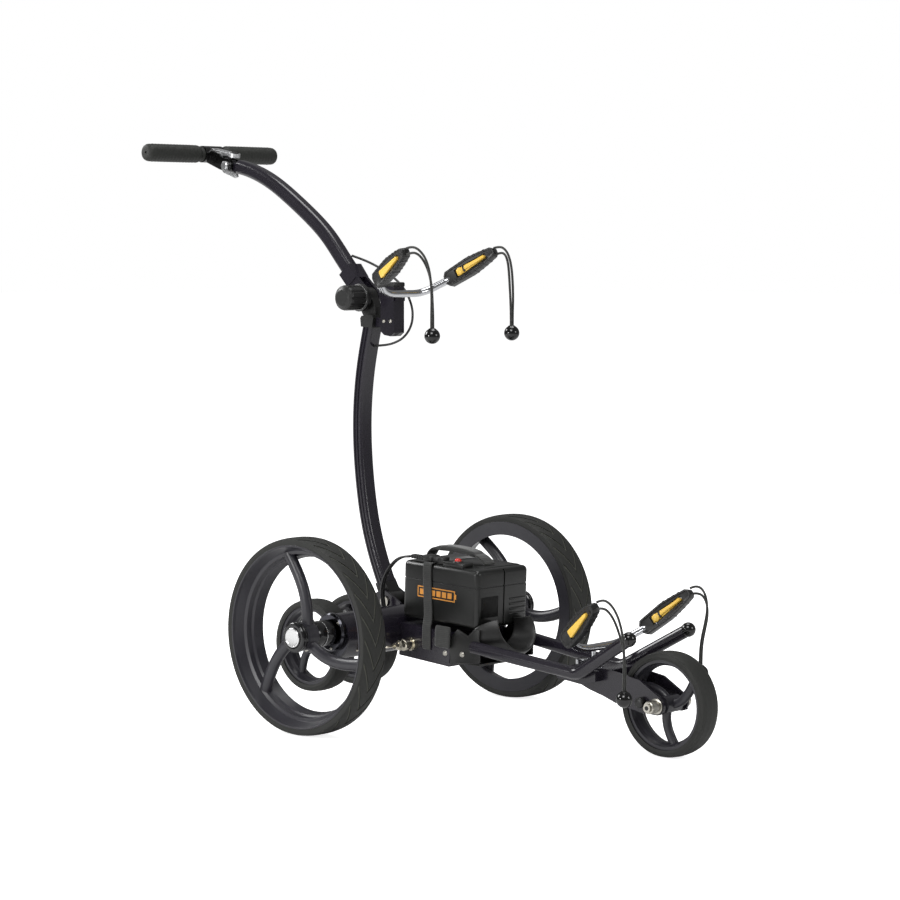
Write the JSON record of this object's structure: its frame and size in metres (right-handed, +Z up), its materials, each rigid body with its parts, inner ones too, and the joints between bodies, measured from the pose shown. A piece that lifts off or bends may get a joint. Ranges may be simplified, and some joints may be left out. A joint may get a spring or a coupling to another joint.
{
  "type": "electric golf trolley",
  "caption": "Three-wheeled electric golf trolley: battery on a low frame, curved folding shaft and handle, bag brackets with bungee loops, and rear anti-tip wheels.",
  "frame": {"origin": "on the ground at the middle of the trolley's bounding box", "axes": "+X forward, the way the trolley rolls; +Y its left side; +Z up"},
  "size_m": [1.1281, 0.5552, 0.9485],
  "materials": {
    "tyre_rubber": "matt ribbed rubber",
    "wheel_plastic": "satin moulded",
    "frame_coat": "satin powder coat",
    "black_plastic": "fine textured moulding",
    "battery_case": "smooth moulding",
    "cell_wrap": "shrink wrap",
    "gloss_black": "gloss",
    "black_metal": "gloss black coat",
    "nickel": "bright nickel",
    "plated_steel": "zinc plated",
    "chrome_rod": "polished",
    "satin_metal": "satin anodised",
    "grip_foam": "textured foam rubber",
    "lever_yellow": "satin moulded",
    "button_red": "gloss",
    "webbing": "woven nylon",
    "elastic_cord": "braided elastic",
    "cable_jacket": "smooth jacket"
  },
  "bodies": {
    "frame": {"axle_housing": "frame_coat", "geared_motors": "gloss_black", "hinge_gussets": "frame_coat", "lower_hinge_pin": "plated_steel", "frame_box": "frame_coat", "speed_controller": "black_plastic", "cable_connector": "nickel", "front_saddle": "black_plastic", "frame_screws": "plated_steel", "horn_tubes": "frame_coat", "horn_end_balls": "gloss_black", "front_yoke": "frame_coat", "front_axle": "plated_steel", "lower_bag_bracket": "chrome_rod", "lower_holders": "black_plastic", "lower_right_bungee": "elastic_cord", "lower_left_bungee": "elastic_cord", "lower_bungee_balls": "gloss_black", "antitip_arm": "frame_coat", "antitip_axle": "plated_steel", "battery_leads": "cable_jacket"},
    "right_drive_wheel": {"right_rim": "wheel_plastic", "right_tyre": "tyre_rubber", "right_hub": "black_metal"},
    "left_drive_wheel": {"left_rim": "wheel_plastic", "left_tyre": "tyre_rubber", "left_hub": "black_metal"},
    "front_wheel": {"front_rim": "wheel_plastic", "front_tyre": "tyre_rubber"},
    "antitip_wheels": {"antitip_rims": "wheel_plastic", "antitip_tyres": "tyre_rubber"},
    "shaft": {"main_shaft": "frame_coat", "shaft_foot": "black_plastic", "shaft_joint": "black_plastic", "bracket_pillar": "frame_coat", "upper_bag_bracket": "chrome_rod", "upper_holders": "black_plastic", "upper_right_bungee": "elastic_cord", "upper_left_bungee": "elastic_cord", "upper_bungee_balls": "gloss_black", "control_cable": "cable_jacket"},
    "handle": {"handle_tube": "frame_coat", "handle_clevis": "frame_coat"},
    "fold_knob": {"lock_knob": "black_plastic"},
    "grip": {"grip_bar": "black_metal", "hand_grips": "grip_foam", "control_plate": "satin_metal"},
    "dial": {"speed_dial": "black_plastic"},
    "cam": {"clamp_lever": "satin_metal"},
    "battery": {"battery_case": "battery_case", "battery_cells": "cell_wrap", "battery_plug": "black_plastic", "battery_handle": "webbing", "battery_strap": "webbing"},
    "button": {"reset_button": "button_red"},
    "thumb_knob": {"bracket_knob": "chrome_rod"},
    "upper_right_strap_lever": {"upper_right_lever": "lever_yellow"},
    "upper_left_strap_lever": {"upper_left_lever": "lever_yellow"},
    "lower_right_strap_lever": {"lower_right_lever": "lever_yellow"},
    "lower_left_strap_lever": {"lower_left_lever": "lever_yellow"}
  },
  "joints": [
    {"name": "right_wheel_spin", "type": "hinge", "parent": "frame", "child": "right_drive_wheel", "pos_m": [-0.05555, -0.248, 0.1575], "axis": [0, 1, 0], "continuous": true},
    {"name": "left_wheel_spin", "type": "hinge", "parent": "frame", "child": "left_drive_wheel", "pos_m": [-0.05555, 0.248, 0.1575], "axis": [0, 1, 0], "continuous": true},
    {"name": "front_wheel_spin", "type": "hinge", "parent": "frame", "child": "front_wheel", "pos_m": [0.48305, 0, 0.081], "axis": [0, 1, 0], "continuous": true},
    {"name": "antitip_wheel_spin", "type": "hinge", "parent": "frame", "child": "antitip_wheels", "pos_m": [-0.23605, 0, 0.1036], "axis": [0, 1, 0], "continuous": true},
    {"name": "lower_fold", "type": "hinge", "parent": "frame", "child": "shaft", "pos_m": [-0.10355, 0, 0.186], "axis": [0, -1, 0], "range_deg": [-46, 0]},
    {"name": "upper_fold", "type": "hinge", "parent": "shaft", "child": "handle", "pos_m": [-0.16155, 0, 0.688], "axis": [0, -1, 0], "range_deg": [0, 100], "deforming": ["control_cable"]},
    {"name": "lock_knob_turn", "type": "hinge", "parent": "shaft", "child": "fold_knob", "pos_m": [-0.16155, 0, 0.688], "axis": [0, -1, 0], "range_deg": [0, 360]},
    {"name": "grip_tilt", "type": "hinge", "parent": "handle", "child": "grip", "pos_m": [-0.49355, 0, 0.912], "axis": [0, -1, 0], "range_deg": [-15, 30]},
    {"name": "speed_dial_turn", "type": "hinge", "parent": "grip", "child": "dial", "pos_m": [-0.48665, 0, 0.93355], "axis": [0.1908, 0, 0.9816], "range_deg": [0, 270]},
    {"name": "clamp_lever_turn", "type": "hinge", "parent": "handle", "child": "cam", "pos_m": [-0.49355, 0, 0.912], "axis": [0, 1, 0], "range_deg": [0, 75]},
    {"name": "battery_lift", "type": "slide", "parent": "frame", "child": "battery", "axis": [0.0384, 0, 0.9993], "range_m": [0, 0.12], "deforming": ["battery_leads"]},
    {"name": "reset_button_press", "type": "slide", "parent": "battery", "child": "button", "axis": [-0.0384, 0, -0.9993], "range_m": [0, 0.002], "stiffness_N_per_m": 400},
    {"name": "bracket_knob_turn", "type": "hinge", "parent": "frame", "child": "thumb_knob", "pos_m": [0.31045, 0, 0.124], "axis": [0, 0, 1], "range_deg": [0, 360]},
    {"name": "upper_right_lever_swing", "type": "hinge", "parent": "shaft", "child": "upper_right_strap_lever", "pos_m": [-0.03308, -0.09256, 0.72955], "axis": [0.4987, 0, -0.8668], "range_deg": [0, 25]},
    {"name": "upper_left_lever_swing", "type": "hinge", "parent": "shaft", "child": "upper_left_strap_lever", "pos_m": [-0.03308, 0.09256, 0.72955], "axis": [-0.4987, 0, 0.8668], "range_deg": [0, 25]},
    {"name": "lower_right_lever_swing", "type": "hinge", "parent": "frame", "child": "lower_right_strap_lever", "pos_m": [0.37714, -0.10298, 0.19034], "axis": [0.6437, 0, -0.7653], "range_deg": [0, 25]},
    {"name": "lower_left_lever_swing", "type": "hinge", "parent": "frame", "child": "lower_left_strap_lever", "pos_m": [0.37714, 0.10298, 0.19034], "axis": [-0.6437, 0, 0.7653], "range_deg": [0, 25]}
  ]
}
